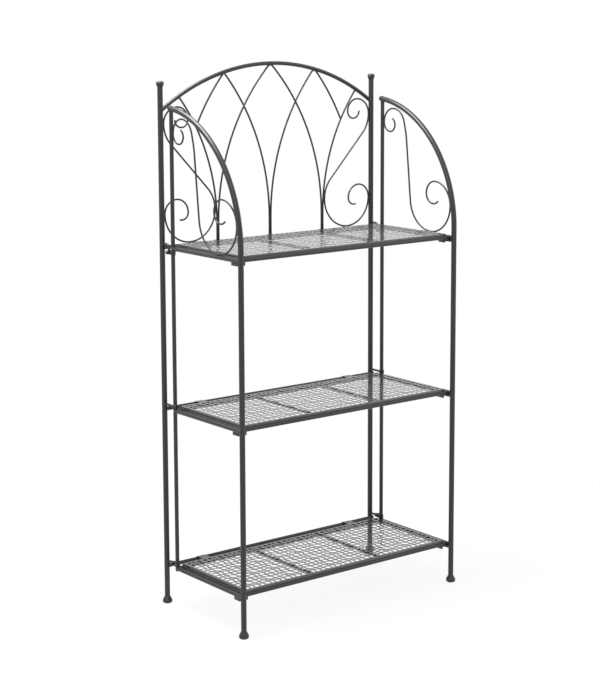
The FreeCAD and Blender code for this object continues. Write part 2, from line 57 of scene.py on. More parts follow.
MM = 0.001
SIDES = {"left": -1, "right": 1}
LEVEL_NAMES = ("bottom", "middle", "top")


def middle(node):
    """Centre of a CAD node's box."""
    low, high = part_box(node)
    return (low + high) / 2


def extent(node):
    """Size of a CAD node's box."""
    low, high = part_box(node)
    return high - low


# Straps: the shelves' hinge loops and the clips round the uprights
LOOP_WIDTH, LOOP_WALL, LOOP_RISE = 20.0 * MM, 0.95 * MM, 0.6 * MM
LOOP_STEPS, LOOP_STEP_TURN = 26, 12
CLIP_WIDTH, CLIP_WALL, CLIP_RISE = 8.0 * MM, 1.15 * MM, 0.75 * MM
CLIP_GAP, CLIP_EAR, CLIP_STEPS = 2.15 * MM, 4.0 * MM, 30

# Places that pieces share, read from the frame
POST = middle("front_post_right")
POST_X, POST_Y = POST.x, -POST.y
UPRIGHT_Y = middle("upright_right").y
RAIL_Y = middle("back_rail_top").y
BOLT_Y = middle("hinge_bolts").y
LOOP_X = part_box("hinge_loops_top")[1].x - LOOP_WIDTH / 2
LEVELS = {name: middle("back_rail_" + name).z for name in LEVEL_NAMES}
CLIP_HEIGHTS = (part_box("hinge_clips")[0].z + CLIP_WIDTH / 2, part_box("hinge_clips")[1].z - CLIP_WIDTH / 2)
EYE_HEIGHT = LEVELS["middle"] + CLIP_HEIGHTS[0] - LEVELS["bottom"]

# Hinge arms: the flattened ends, the eye and the hook
TANG_WIDTH, TANG_WALL, TANG_BEVEL = 7.0 * MM, 2.9 * MM, 0.5 * MM
TANG_LAP, TANG_REACH, SHANK_REACH = 3.9 * MM, 9.0 * MM, 7.5 * MM
EYE_WALL, EYE_GAP, EYE_SINK = 1.5 * MM, 0.1 * MM, 1.2 * MM
HOOK_BEND, HOOK_GAP, HOOK_LAP, HOOK_STEP = 9.0 * MM, 0.4 * MM, 1.5 * MM, 0.8 * MM

# Sides of round parts
WIRE_SIDES, ARM_SIDES, BAR_SIDES, ROD_SIDES, BOW_SIDES, EYE_SIDES, TURNED_SIDES = 16, 20, 24, 28, 32, 36, 48

# How far from the middle of a round part the bar that meets it ends, as a share of the round part's radius
BAR_END, RAIL_END = 0.5, 0.4

# Gaps between pieces that lie together, softened edges, how near points are one and the steepest smooth edge
SEAT = 0.05 * MM
SOFT_EDGE = 0.4 * MM
ROD_EDGE = 0.8 * MM
ONE_PLACE = 0.02 * MM
CREASE = 38.0

# Heights of the arches and the lattice: below the crown or above the top back rail
ARCH_RISE = 88.0 * MM
BOW_SPRING_RISE = 20.5 * MM
BOW_RISE = 289.5 * MM
LATTICE_SPRING_RISE = 40.5 * MM
LATTICE_FOOT_RISE = 3.05 * MM

# Places of the lattice: shares of the way from the middle to a post, half a pair's spacing, a layer's depth
STEM_SHARE = 0.5
SIDE_APEX_SHARE = 0.4274
OUTER_APEX_SHARE = 0.84
HALF_PAIR = 1.9 * MM
LAYER = 3.7 * MM

# Back scroll: radii as shares of its bay's width and degrees turned, end to end, then the bulges' heights
BACK_UPPER = ((0.1275, -180), (0.2087, -90), (0.263, -90))
BACK_UPPER_BULGE = 0.487
BACK_LOWER_BULGE = 0.506
BACK_LOWER = ((0.232, 90), (0.224, 90), (0.122, 109))
BACK_BULGE_DROP = 30.75 * MM
BACK_SCROLL_RISE = 4.5 * MM

# Side scroll in the same way, with straight runs on both sides of a slight bend at its waist, and its bow gap
SIDE_HEADING = 202
SIDE_UPPER = ((0.0595, 68), (0.0671, 90), (0.086, 90))
SIDE_SHOULDER = ((0.1312, 90), (0.155, 75))
SIDE_WAIST = ((0.67, 9),)
SIDE_BELLY = ((0.289, -84), (0.2558, -90))
SIDE_BULGE = 0.2096
SIDE_LOWER = ((0.1132, -90), (0.0935, -90), (0.092, -44))
SIDE_BOW_GAP = 3.1 * MM

# Points along bends: degrees between them at most and at least, and the finest steps of wires and arches
WIDEST_TURN, CLOSEST_TURN = 9, 2
WIRE_STEP, LATTICE_STEP, ARCH_STEP = 2.4 * MM, 5.0 * MM, 4.0 * MM

# Sheets: cells across and along a tile of the pattern, its holes, the corners and the notches for the loops
TILE = 4
STRAND_SEED, HOLE_SEED = 8, 3
SEAM_SWAY = 0.5
HOLE_SPREAD = (0.86, 1.04)
HOLE_ROUNDING = 0.72
SIDE_PARTS = 3
SHEET_CORNER, TIGHTEST_CORNER = 3.0 * MM, 0.2 * MM
QUARTER_STEPS = 6
NOTCH_GAP, NOTCH_RISE, NOTCH_SLOPE = 0.3 * MM, 0.9 * MM, 0.06 * MM

# Outlines of the turned parts in millimetres: radius and place along the axis
BOLT = (
    (0, -5.15), (2.2, -5.05), (3.2, -4.6), (3.7, -3.7), (3.75, -2.8), (2.0, -2.75), (2.0, 2.75), (0, 2.75),
)
NUT = ((0, 2.8), (3.6, 2.8), (3.75, 3.1), (3.75, 5.4), (3.5, 6.0))
DOME = ((3.4, 5.9), (3.35, 6.6), (3.1, 7.4), (2.6, 8.1), (1.8, 8.6), (0.9, 8.85), (0, 8.9))
FOOT = (
    (0, 0), (7.0, 0), (8.3, 0.3), (9.3, 1.0), (10.1, 2.2), (10.45, 3.6), (10.5, 5.0), (10.3, 6.4),
    (9.8, 7.8), (9.1, 9.2), (8.4, 10.4), (7.8, 11.6), (7.4, 12.7), (7.0, 13.5), (6.4, 14.0),
)
FOOT_LAP = 2.0 * MM
FINIAL = (
    (0, -16.2), (5.5, -16.2), (5.7, -15.0), (5.75, -14.2), (5.9, -13.2), (6.3, -11.8), (6.9, -10.2),
    (7.5, -8.6), (8.0, -7.0), (8.25, -5.5), (8.2, -4.2), (7.8, -2.9), (7.0, -1.8), (5.7, -0.9),
    (3.9, -0.35), (2.0, -0.08), (0, 0),
)

# Weld beads: their seed, their largest turn, their smallest and largest scale, and their depth in rod radii
BEAD_SEED = 3
BEAD_TURN = (6.28, 6.28, 6.28)
SMALLEST_BEAD, LARGEST_BEAD = (0.8, 0.8, 0.7), (1.15, 1.1, 0.95)
APEX_SINK, CROWN_SINK = 0.9, 0.95

# Finishes: the colour setting, grains of orange peel to the metre, roughness, dust and clear coat
FINISHES = {
    "dark_metal_paint": ("metal", 800.0, 0.30, 0.35, 0.0),
    # The sheets' tone is lighter than the rods' paint: that lightness is painted sheen of the light the flat
    # sheets catch from above.
    "perforated_sheet_paint": ("sheet", 900.0, 0.20, 0.50, 0.3),
    "fastener_paint": ("fastener", 1100.0, 0.28, 0.30, 0.0),
}
KEPT_NODES = ("post", "upright", "back_rail", "shelf_tabs", "lattice_feet")

# What the finishes share: slow drift of tone and gloss, specks of dust, and the depth of the orange peel
DRIFT_SCALE, DARK_SHARE, LIGHT_SHARE = 14.0, 0.86, 1.16
SPECK_SHARE, DUST_TONE = 0.33, 0.05
DUST_STOPS = ((0.60, (0, 0, 0)), (0.74, (1, 1, 1)))
GLOSS_SINK, GLOSS_DRIFT, GLOSS_PEEL = 0.07, 0.10, 0.06
PEEL_STRENGTH, PEEL_DEPTH = 0.22, 0.25 * MM
COAT_ROUGHNESS = 0.12

# Studio: the floor's reach and clouds, where it fades to white, and each lamp's place, size and power
FLOOR_REACH = 14.0
CLOUD_SCALE, CLOUD_SHARE = 3.0, 0.99
FADE_START, FADE_END, SHADOW_SHARE = 0.3, 1.4, 0.89
LAMPS = {
    "key_light": ((-2.4, -1.8, 2.8), 2.0, 22.0),
    "fill_light": ((2.6, -1.6, 2.0), 2.4, 14.0),
    "overhead_light": ((-0.5, 0.3, 2.1), 1.0, 46.0),
}
LAMP_AIM = Vector((0, 0, 0.5))
WORLD_LIGHT = 0.65

# Camera: its sensor, focal length and picture height in pixels, place, turns in degrees and shift
SENSOR = 36.0
FOCAL_PIXELS, PICTURE_PIXELS = 1757.4, 700.0
CAMERA_PLACE = (-2.2881, -2.9038, 1.2726)
PITCH, ROLL, YAW = 8.497, 0.140, 38.243
CAMERA_SHIFT = (-0.0147, -0.12)


def length(name, description, default):
    """A size in metres that a user may change."""
    return bpy.props.FloatProperty(name=name, description=description, default=default, min=0, unit="LENGTH")


def share(name, description, default):
    """A share between nothing and all."""
    limits = {"min": 0, "max": 1, "subtype": "FACTOR"}
    return bpy.props.FloatProperty(name=name, description=description, default=default, **limits)


def repeats(name, description, default):
    """How often something repeats."""
    return bpy.props.IntProperty(name=name, description=description, default=default, min=1)


def colour(name, description, default):
    """A colour that a user may change."""
    limits = {"size": 3, "min": 0, "max": 1, "subtype": "COLOR"}
    return bpy.props.FloatVectorProperty(name=name, description=description, default=default, **limits)


class ShelvingWires(bpy.types.PropertyGroup):
    """Thickness of the tubes, rods and wires."""

    post: length("Post radius", "Radius of the posts and of their bows", extent("front_post_right").x / 2)
    rod: length("Rod radius", "Radius of the rails, uprights and back arch", extent("back_rail_top").z / 2)
    shelf_rod: length("Shelf rod radius", "Radius of the rods that a shelf's sheet stands on", 4.0 * MM)
    cross_rod: length("Cross rod radius", "Radius of the two rods under each sheet", 3.0 * MM)
    lattice: length("Lattice radius", "Radius of the lattice wires", 2.05 * MM)
    scroll: length("Scroll radius", "Radius of the scroll wires", 1.9 * MM)
    arm: length("Hinge arm radius", "Radius of the hinge arms", 2.5 * MM)
    bead: length("Weld bead radius", "Radius of the beads where wires meet", 2.1 * MM)


class ShelvingSheet(bpy.types.PropertyGroup):
    """Sizes of the perforated sheets."""

    thickness: length("Thickness", "Thickness of the sheet", 0.5 * MM)
    border: length("Border", "Width of the plain border", 5.5 * MM)
    bend: length("Bend", "Radius of the turned-down edge", 3.2 * MM)
    opening: share("Opening", "Size of a hole as a share of its cell", 0.79)
    swell: share("Swell", "How far every second cell swells, as a share of the mean cell", 0.10)
    sway: share("Sway", "How far the strands sway at random, as a share of the mean cell", 0.20)
    wave: share("Wave", "How far the strands wave from a straight grid, as a share of the mean cell", 0.24)
    columns: repeats("Columns", "Tiles of the pattern across a shelf", 10)
    rows: repeats("Rows", "Tiles of the pattern from front to rear", 4)


class ShelvingPaint(bpy.types.PropertyGroup):
    """Colours of the finishes."""

    metal: colour("Paint", "Dark powder coat of the tubes, rods and wires", (0.015, 0.015, 0.016))
    # Lighter than the paint of the rods: the difference is painted sheen of the light that the flat sheets
    # catch from above.
    sheet: colour("Sheet paint", "Powder coat of the perforated sheets", (0.040, 0.041, 0.045))
    fastener: colour("Fastener paint", "Paint on the bolts and dome nuts", (0.018, 0.018, 0.019))
    floor: colour("Floor", "Pale floor", (0.90, 0.90, 0.90))


class Value:
    """A socket of a node tree that takes part in sums."""

    def __init__(self, net, socket):
        self.net, self.socket = net, socket

    def __add__(self, other):
        return self.net.maths("ADD", self, other)

    def __sub__(self, other):
        return self.net.maths("SUBTRACT", self, other)

    def __mul__(self, other):
        return self.net.maths("MULTIPLY", self, other)

    def __radd__(self, other):
        return self.net.maths("ADD", other, self)

    def __rsub__(self, other):
        return self.net.maths("SUBTRACT", other, self)

    def __rmul__(self, other):
        return self.net.maths("MULTIPLY", other, self)


class Net:
    """A node tree, with one method that all its nodes come from."""

    def __init__(self, tree):
        self.tree = tree

    def node(self, kind, settings=None, sockets=None, out=0):
        """Add a node, give it its settings and then its sockets, and return one of its outputs."""
        made = self.tree.nodes.new(kind)
        for name, value in (settings or {}).items():
            if name == "stops":
                self.stops(made.color_ramp, value)
            else:
                setattr(made, name, value)
        for key, value in (sockets or {}).items():
            if isinstance(value, Value):
                self.tree.links.new(value.socket, made.inputs[key])
            else:
                made.inputs[key].default_value = value
        return Value(self, made.outputs[out]) if len(made.outputs) else None

    def stops(self, ramp, stops):
        """Give a colour ramp its stops."""
        while len(ramp.elements) < len(stops):
            ramp.elements.new(0.5)
        for element, (place, tone) in zip(ramp.elements, stops):
            element.position = place
            element.color = (*tone, 1.0)

    def maths(self, operation, one, two):
        """A Math node on two values or numbers."""
        return self.node("ShaderNodeMath", {"operation": operation}, {0: one, 1: two})

    def mix(self, factor, one, two):
        """A mix of two colours."""
        settings = {"data_type": "RGBA"}
        return self.node("ShaderNodeMix", settings, {0: factor, 6: one, 7: two}, out=2)

    def noise(self, place, scale, detail, roughness=0.5):
        """Noise at a place."""
        sockets = {"Vector": place, "Scale": scale, "Detail": detail, "Roughness": roughness}
        return self.node("ShaderNodeTexNoise", None, sockets)

    def object_place(self):
        """The place on the object."""
        return self.node("ShaderNodeTexCoord", out="Object")


def empty_net(owner):
    """The node tree of a new material or world, emptied."""
    owner.use_nodes = True
    owner.node_tree.nodes.clear()
    return Net(owner.node_tree)


def painted(name, tone, grain, roughness, dust, coat):
    """Powder coat: fine orange peel, slow drift of tone and gloss, and a little dust or wear."""
    material = bpy.data.materials.new(name)
    net = empty_net(material)
    place = net.object_place()
    drift = net.noise(place, DRIFT_SCALE, 3.0)
    peel = net.noise(place, grain, 4.0, 0.6)
    speck = net.noise(place, grain * SPECK_SHARE, 2.0)
    dusty = net.node("ShaderNodeValToRGB", {"stops": DUST_STOPS}, {0: speck})
    dark = (*[part * DARK_SHARE for part in tone], 1.0)
    light = (*[min(1.0, part * LIGHT_SHARE) for part in tone], 1.0)
    worn = (*[min(1.0, part + DUST_TONE) for part in tone], 1.0)
    bump = {"Strength": PEEL_STRENGTH, "Distance": PEEL_DEPTH, "Height": peel}
    sockets = {
        "Base Color": net.mix(dusty * dust, net.mix(drift, dark, light), worn),
        "Roughness": roughness - GLOSS_SINK + drift * GLOSS_DRIFT + peel * GLOSS_PEEL,
        "Normal": net.node("ShaderNodeBump", None, bump),
        "Metallic": 0.0,
        "IOR": 1.5,
        "Coat Weight": coat,
        "Coat Roughness": COAT_ROUGHNESS,
    }
    shader = net.node("ShaderNodeBsdfPrincipled", None, sockets)
    net.node("ShaderNodeOutputMaterial", None, {"Surface": shader})
    return material


def paint_of(name):
    """A finish by its name, made once."""
    ready = bpy.data.materials.get(name)
    if ready:
        return ready
    tone, *look = FINISHES[name]
    return painted(name, getattr(bpy.context.scene.shelving_paint, tone), *look)


def bright_rays(net):
    """One for rays from the camera, from gloss and through glass, and none for the rays that light things."""
    kinds = ("Is Camera Ray", "Is Glossy Ray", "Is Transmission Ray")
    camera, gloss, glass = [net.node("ShaderNodeLightPath", out=kind) for kind in kinds]
    return camera + gloss + glass


def floor_finish():
    """Pale floor that takes the unit's shadow and fades to the backdrop's white."""
    material = bpy.data.materials.new("studio_floor")
    net = empty_net(material)
    place = net.object_place()
    tone = bpy.context.scene.shelving_paint.floor
    cloudy = (*[part * CLOUD_SHARE for part in tone], 1.0)
    base = net.mix(net.noise(place, CLOUD_SCALE, 2.0), cloudy, (*tone, 1.0))
    shader = net.node("ShaderNodeBsdfPrincipled", None, {"Base Color": base, "Roughness": 0.9, "IOR": 1.3})
    away = net.node("ShaderNodeVectorMath", {"operation": "LENGTH"}, {0: place}, out="Value")
    span = {0: away, 1: FADE_START, 2: FADE_END, 3: SHADOW_SHARE, 4: 1.0}
    fade = net.node("ShaderNodeMapRange", {"interpolation_type": "SMOOTHSTEP"}, span)
    white = net.node("ShaderNodeEmission", None, {"Color": (1, 1, 1, 1), "Strength": 1.0})
    both = net.node("ShaderNodeMixShader", None, {0: bright_rays(net) * fade, 1: shader, 2: white})
    net.node("ShaderNodeOutputMaterial", None, {"Surface": both})
    return material


def step_end(place, heading, size, turn):
    """Where a straight run (no turn) or a tangent arc ends, and its heading in degrees there."""
    before, after = math.radians(heading), math.radians(heading + turn)
    if turn == 0:
        return (place[0] + size * math.cos(before), place[1] + size * math.sin(before)), heading
    side = math.copysign(size, turn)
    shift = (math.sin(after) - math.sin(before), math.cos(before) - math.cos(after))
    return (place[0] + side * shift[0], place[1] + side * shift[1]), heading + turn


def walk_end(place, heading, steps):
    """Where a chain of steps ends, and its heading there."""
    for size, turn in steps:
        place, heading = step_end(place, heading, size, turn)
    return place, heading


def walk_start(target, heading, steps):
    """Where a chain of steps must start to end at the target."""
    end, _ = walk_end((0, 0), heading, steps)
    return target[0] - end[0], target[1] - end[1]


def trail(place, heading, steps, finest=WIRE_STEP):
    """Points along a chain of steps, close enough together for smooth bends."""
    points = [place]
    for size, turn in steps:
        count = 1
        if turn:
            run = abs(math.radians(turn)) * size
            most = min(int(run / finest), int(abs(turn) / CLOSEST_TURN) + 1)
            count = max(int(abs(turn) / WIDEST_TURN) + 1, most)
        points += [step_end(place, heading, size, turn * (index + 1) / count)[0] for index in range(count)]
        place, heading = step_end(place, heading, size, turn)
    return points


def in_back(points, side=1, setback=0.0):
    """Points of the back's plane as places, mirrored for the left side."""
    return [Vector((side * across, POST_Y + setback, up)) for across, up in points]


def in_side(points, side):
    """Points of a side frame's plane as places."""
    return [Vector((side * POST_X, along, up)) for along, up in points]


def circle_through(reach, rise):
    """Radius of an arc that leaves upright and leans over by a reach within a rise."""
    return (reach * reach + rise * rise) / (reach * 2)


def bends(bay, shares):
    """Steps of a scroll whose radii are shares of its bay."""
    return [(bay * part, turn) for part, turn in shares]


class Layout:
    """Places of the arches, lattice and scrolls, from the CAD nodes and a few shares."""

    def __init__(self, wires):
        self.wires = wires
        self.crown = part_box("back_arch")[1].z - wires.rod
        self.shoulder = self.crown - ARCH_RISE
        self.spring = LEVELS["top"] + BOW_SPRING_RISE
        self.lattice_spring = LEVELS["top"] + LATTICE_SPRING_RISE
        self.stem_x = POST_X * STEM_SHARE
        self.side_apex = POST_X * SIDE_APEX_SHARE
        self.outer_apex = POST_X * OUTER_APEX_SHARE
        self.side_bay = UPRIGHT_Y + POST_Y
        self.bow_radius = circle_through(self.side_bay, LEVELS["top"] + BOW_RISE - self.spring)
        self.arch_radius = circle_through(self.crown - self.shoulder, POST_X - wires.post)

    def arch_height(self, across):
        """Height of the back arch's centre line at a distance from the middle."""
        return self.crown - self.arch_radius + math.sqrt(self.arch_radius ** 2 - across ** 2)

    def back_arch(self):
        """Centre line of the back arch between the posts' faces."""
        reach = POST_X - self.wires.post * BAR_END
        lean = math.degrees(math.asin(reach / self.arch_radius))
        start = (-reach, self.arch_height(reach))
        return in_back(trail(start, lean, [(self.arch_radius, -lean * 2)], ARCH_STEP))

    def bow(self, side):
        """Centre line of the bow that a front post bends into."""
        radius = self.bow_radius
        reach = POST_Y + UPRIGHT_Y + self.wires.post - radius
        turn = 180 - math.degrees(math.acos(reach / radius))
        return in_side(trail((-POST_Y, self.spring), 90, [(radius, -turn)], ARCH_STEP), side)

    def lattice_wire(self, start_x, apex_x):
        """Points of a wire that rises straight and then leans over to its apex on the arch."""
        bottom = LEVELS["top"] + LATTICE_FOOT_RISE
        rise = self.arch_height(apex_x) - self.lattice_spring
        radius = circle_through(abs(apex_x - start_x), rise)
        turn = math.degrees(math.atan2(rise, radius - abs(apex_x - start_x)))
        turn = math.copysign(turn, start_x - apex_x)
        steps = [(self.lattice_spring - bottom, 0), (radius, turn)]
        return trail((start_x, bottom), 90, steps, LATTICE_STEP)

    def outer_wire(self):
        """Points of the wire that ends nearest a post."""
        return self.lattice_wire(self.stem_x + HALF_PAIR, self.outer_apex)

    def centre_wire(self):
        """Points of the wire that rises from the middle stem."""
        return self.lattice_wire(HALF_PAIR, self.side_apex)

    def lattice(self):
        """Centre lines of all the lattice wires."""
        lines = []
        short = self.lattice_wire(self.side_apex * 2 - HALF_PAIR, self.side_apex)
        short = [point for point in short if point[0] < self.outer_at(point[1])]
        for side in SIDES.values():
            lines.append(in_back(self.outer_wire(), side))
            lines.append(in_back(self.lattice_wire(self.stem_x - HALF_PAIR, 0), side))
            lines.append(in_back(self.centre_wire(), side, LAYER))
            lines.append(in_back(short, side))
        return lines

    def outer_radius(self):
        """Radius that the outer lattice wire leans over by."""
        rise = self.arch_height(self.outer_apex) - self.lattice_spring
        return circle_through(self.outer_apex - self.stem_x - HALF_PAIR, rise)

    def outer_at(self, height):
        """How far out the outer lattice wire is at a height."""
        radius = self.outer_radius()
        above = max(height - self.lattice_spring, 0)
        return self.stem_x + HALF_PAIR + radius - math.sqrt(max(radius ** 2 - above ** 2, 0))

    def back_scroll(self, side):
        """Centre line of the scroll between the outer stem and the post."""
        wires = self.wires
        right = POST_X - wires.post - wires.scroll - SEAT
        stem = self.stem_x + HALF_PAIR
        bay = right - (stem + wires.lattice + wires.scroll + SEAT)
        upper, lower = bay * BACK_UPPER_BULGE, bay * BACK_LOWER_BULGE
        curve = self.outer_radius()
        inner = curve - wires.lattice - wires.scroll - SEAT - lower
        low_z = LEVELS["top"] + BACK_SCROLL_RISE + lower
        low_x = stem + curve - math.sqrt(inner ** 2 - (low_z - self.lattice_spring) ** 2)
        high_x, high_z = right - upper, self.shoulder - BACK_BULGE_DROP
        span = math.hypot(low_x - high_x, low_z - high_z)
        run = math.sqrt(span ** 2 - (upper + lower) ** 2)
        heading = math.degrees(math.atan2(low_z - high_z, low_x - high_x) - math.atan2(upper + lower, run))
        steps = bends(bay, BACK_UPPER)
        start = walk_start((right, high_z), -90, steps)
        steps += [(upper, heading + 90), (run, 0), (lower, -heading), (right - low_x, 90)]
        return in_back(trail(start, -90, steps + bends(bay, BACK_LOWER)), side)

    def side_scroll(self, side):
        """Centre line of the scroll between the bow, the upright and the top side rail."""
        wires, bay, radius = self.wires, self.side_bay, self.bow_radius
        upper, shoulder, waist = bends(bay, SIDE_UPPER), bends(bay, SIDE_SHOULDER), bends(bay, SIDE_WAIST)
        belly, lower, bulge = bends(bay, SIDE_BELLY), bends(bay, SIDE_LOWER), bay * SIDE_BULGE
        front_z = LEVELS["top"] + wires.rod + wires.scroll + SEAT + belly[-1][0]
        inner = radius - wires.post - wires.scroll - SEAT - bulge
        front_y = radius - POST_Y - math.sqrt(inner ** 2 - (front_z - self.spring) ** 2) - bulge
        rear_y = UPRIGHT_Y - wires.rod - wires.scroll - SEAT
        small, large = shoulder[0][0], shoulder[1][0]
        reach = radius - POST_Y - rear_y + small
        room = radius - wires.post - wires.scroll - SIDE_BOW_GAP - large
        rear = (rear_y, self.spring + math.sqrt(room ** 2 - reach ** 2) + large - small)
        fixed, _ = walk_end(rear, 90, shoulder + waist + belly)
        left_y, left_z = front_y - fixed[0], front_z - fixed[1]
        first = math.radians(90 + shoulder[0][1] + shoulder[1][1])
        second = first + math.radians(waist[0][1])
        cross = math.sin(second - first)
        run_one = (left_y * math.sin(second) - left_z * math.cos(second)) / cross
        run_two = (math.cos(first) * left_z - math.sin(first) * left_y) / cross
        start = walk_start(rear, SIDE_HEADING, upper)
        steps = upper + shoulder + [(run_one, 0)] + waist + [(run_two, 0)] + belly + [(bulge, -90)] + lower
        return in_side(trail(start, SIDE_HEADING, steps), side)


def tree_of(name, inputs):
    """A new geometry node tree with its inputs and one output."""
    tree = bpy.data.node_groups.new(name, "GeometryNodeTree")
    tree.interface.new_socket(name="Geometry", in_out="INPUT", socket_type="NodeSocketGeometry")
    for label, kind in inputs:
        tree.interface.new_socket(name=label, in_out="INPUT", socket_type="NodeSocket" + kind)
    tree.interface.new_socket(name="Geometry", in_out="OUTPUT", socket_type="NodeSocketGeometry")
    net = Net(tree)
    labels = ["Geometry"] + [label for label, kind in inputs]
    return net, {label: net.node("NodeGroupInput", out=label) for label in labels}


def close_tree(net, geometry, paint):
    """End a tree in real geometry with its finish."""
    real = net.node("GeometryNodeRealizeInstances", None, {"Geometry": geometry})
    done = net.node("GeometryNodeSetMaterial", None, {"Geometry": real, "Material": paint})
    net.node("NodeGroupOutput", None, {"Geometry": done})
    return net.tree


def wire_tree():
    """Tubes along the edges of a mesh, in a tree that is made once."""
    ready = bpy.data.node_groups.get("wires_along_lines")
    if ready:
        return ready
    net, given = tree_of("wires_along_lines", (("Radius", "Float"), ("Sides", "Int"), ("Paint", "Material")))
    line = net.node("GeometryNodeMeshToCurve", None, {"Mesh": given["Geometry"]})
    sizes = {"Resolution": given["Sides"], "Radius": given["Radius"]}
    ring = net.node("GeometryNodeCurvePrimitiveCircle", None, sizes)
    sockets = {"Curve": line, "Profile Curve": ring, "Fill Caps": True}
    return close_tree(net, net.node("GeometryNodeCurveToMesh", None, sockets), given["Paint"])


def punched_tree():
    """A field of tiles of the sheets' pattern, joined at their edges."""
    inputs = (
        ("Columns", "Int"),
        ("Rows", "Int"),
        ("Column Pitch", "Float"),
        ("Row Pitch", "Float"),
        ("Centre", "Vector"),
        ("Paint", "Material"),
    )
    net, given = tree_of("punched_field", inputs)
    sizes = {
        "Size X": (given["Columns"] - 1) * given["Column Pitch"],
        "Size Y": (given["Rows"] - 1) * given["Row Pitch"],
        "Vertices X": given["Columns"],
        "Vertices Y": given["Rows"],
    }
    grid = net.node("GeometryNodeMeshGrid", None, sizes)
    tiles = net.node("GeometryNodeInstanceOnPoints", None, {"Points": grid, "Instance": given["Geometry"]})
    real = net.node("GeometryNodeRealizeInstances", None, {"Geometry": tiles})
    joined = net.node("GeometryNodeMergeByDistance", None, {"Geometry": real, "Distance": ONE_PLACE})
    sockets = {"Geometry": joined, "Translation": given["Centre"]}
    return close_tree(net, net.node("GeometryNodeTransform", None, sockets), given["Paint"])


def bead_tree():
    """Small uneven beads on points."""
    net, given = tree_of("weld_beads", (("Radius", "Float"), ("Seed", "Int"), ("Paint", "Material")))
    ball = net.node("GeometryNodeMeshIcoSphere", None, {"Radius": given["Radius"], "Subdivisions": 3})
    turn, size = [
        net.node(
            "FunctionNodeRandomValue",
            {"data_type": "FLOAT_VECTOR"},
            {"Min": least, "Max": most, "Seed": given["Seed"]},
        )
        for least, most in (((0.0, 0.0, 0.0), BEAD_TURN), (SMALLEST_BEAD, LARGEST_BEAD))
    ]
    sockets = {"Points": given["Geometry"], "Instance": ball, "Rotation": turn, "Scale": size}
    return close_tree(net, net.node("GeometryNodeInstanceOnPoints", None, sockets), given["Paint"])


def mesh_object(name, points, edges=(), faces=()):
    """A new object with a mesh, linked to the scene."""
    mesh = bpy.data.meshes.new(name)
    mesh.from_pydata([tuple(point) for point in points], list(edges), list(faces))
    made = bpy.data.objects.new(name, mesh)
    bpy.context.scene.collection.objects.link(made)
    return made


def run_tree(made, tree, values):
    """Run a tree on an object with the named inputs, and keep the result as a plain mesh."""
    modifier = made.modifiers.new("maker", "NODES")
    modifier.node_group = tree
    sockets = {item.name: item.identifier for item in tree.interface.items_tree if item.in_out == "INPUT"}
    for label, value in values.items():
        modifier[sockets[label]] = value
    bpy.context.view_layer.update()
    graph = bpy.context.evaluated_depsgraph_get()
    mesh = bpy.data.meshes.new_from_object(made.evaluated_get(graph), depsgraph=graph)
    made.modifiers.clear()
    made.data = mesh
    if not len(mesh.polygons):
        raise RuntimeError("no faces came out of " + tree.name + " for " + made.name)
    mesh.materials.clear()
    mesh.materials.append(values["Paint"])
    mesh.polygons.foreach_set("material_index", [0] * len(mesh.polygons))
    return made


def settle(made, body, nodes=()):
    """Give a piece its shading and body, and let it stand for its CAD nodes."""
    made.data.polygons.foreach_set("use_smooth", [True] * len(made.data.polygons))
    made.data.set_sharp_from_angle(angle=math.radians(CREASE))
    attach(made, body)
    if nodes:
        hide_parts(*nodes)


def tubes(name, lines, radius, sides=WIRE_SIDES):
    """One object of round tubes along centre lines."""
    points, edges = [], []
    for line in lines:
        start = len(points)
        points += line
        edges += [(start + index, start + index + 1) for index in range(len(line) - 1)]
    made = mesh_object(name, points, edges)
    paint = paint_of("dark_metal_paint")
    return run_tree(made, wire_tree(), {"Radius": radius, "Sides": sides, "Paint": paint})


def lathe(outline, sides):
    """Points and faces of a turned shape about Z, from radii and heights, closed at both ends of its axis."""
    points, faces, rings = [], [], []
    for radius, height in outline:
        if radius <= 0:
            rings.append([len(points)])
            points.append(Vector((0, 0, height)))
            continue
        rings.append(list(range(len(points), len(points) + sides)))
        for index in range(sides):
            angle = math.tau * index / sides
            points.append(Vector((radius * math.cos(angle), radius * math.sin(angle), height)))
    for low, high in zip(rings, rings[1:]):
        for index in range(sides):
            pair = (index, (index + 1) % sides)
            near, far = [[ring[place % len(ring)] for place in pair] for ring in (low, high)]
            faces.append(tuple(dict.fromkeys((*near, *reversed(far)))))
    return points, faces


def moved(part, place):
    """A part's points and faces at a place."""
    points, faces = part
    return [place + point for point in points], faces


def metres(outline):
    """An outline given in millimetres."""
    return [(radius * MM, run * MM) for radius, run in outline]


def round_bar(start, end, radius, bevel=SOFT_EDGE, sides=BAR_SIDES):
    """Points and faces of a straight round bar with softened ends."""
    turn = (end - start).normalized().to_track_quat("Z", "Y").to_matrix()
    run, rim = (end - start).length, radius - bevel
    outline = [(0, 0), (rim, 0), (radius, bevel), (radius, run - bevel), (rim, run), (0, run)]
    points, faces = lathe(outline, sides)
    return [start + turn @ point for point in points], faces


def gather(name, parts, paint="dark_metal_paint"):
    """One object from several lists of points and faces."""
    points, faces = [], []
    for some_points, some_faces in parts:
        start = len(points)
        points += some_points
        faces += [tuple(start + index for index in face) for face in some_faces]
    made = mesh_object(name, points, (), faces)
    shape = bmesh.new()
    shape.from_mesh(made.data)
    bmesh.ops.recalc_face_normals(shape, faces=shape.faces)
    shape.to_mesh(made.data)
    shape.free()
    made.data.materials.append(paint_of(paint))
    return made


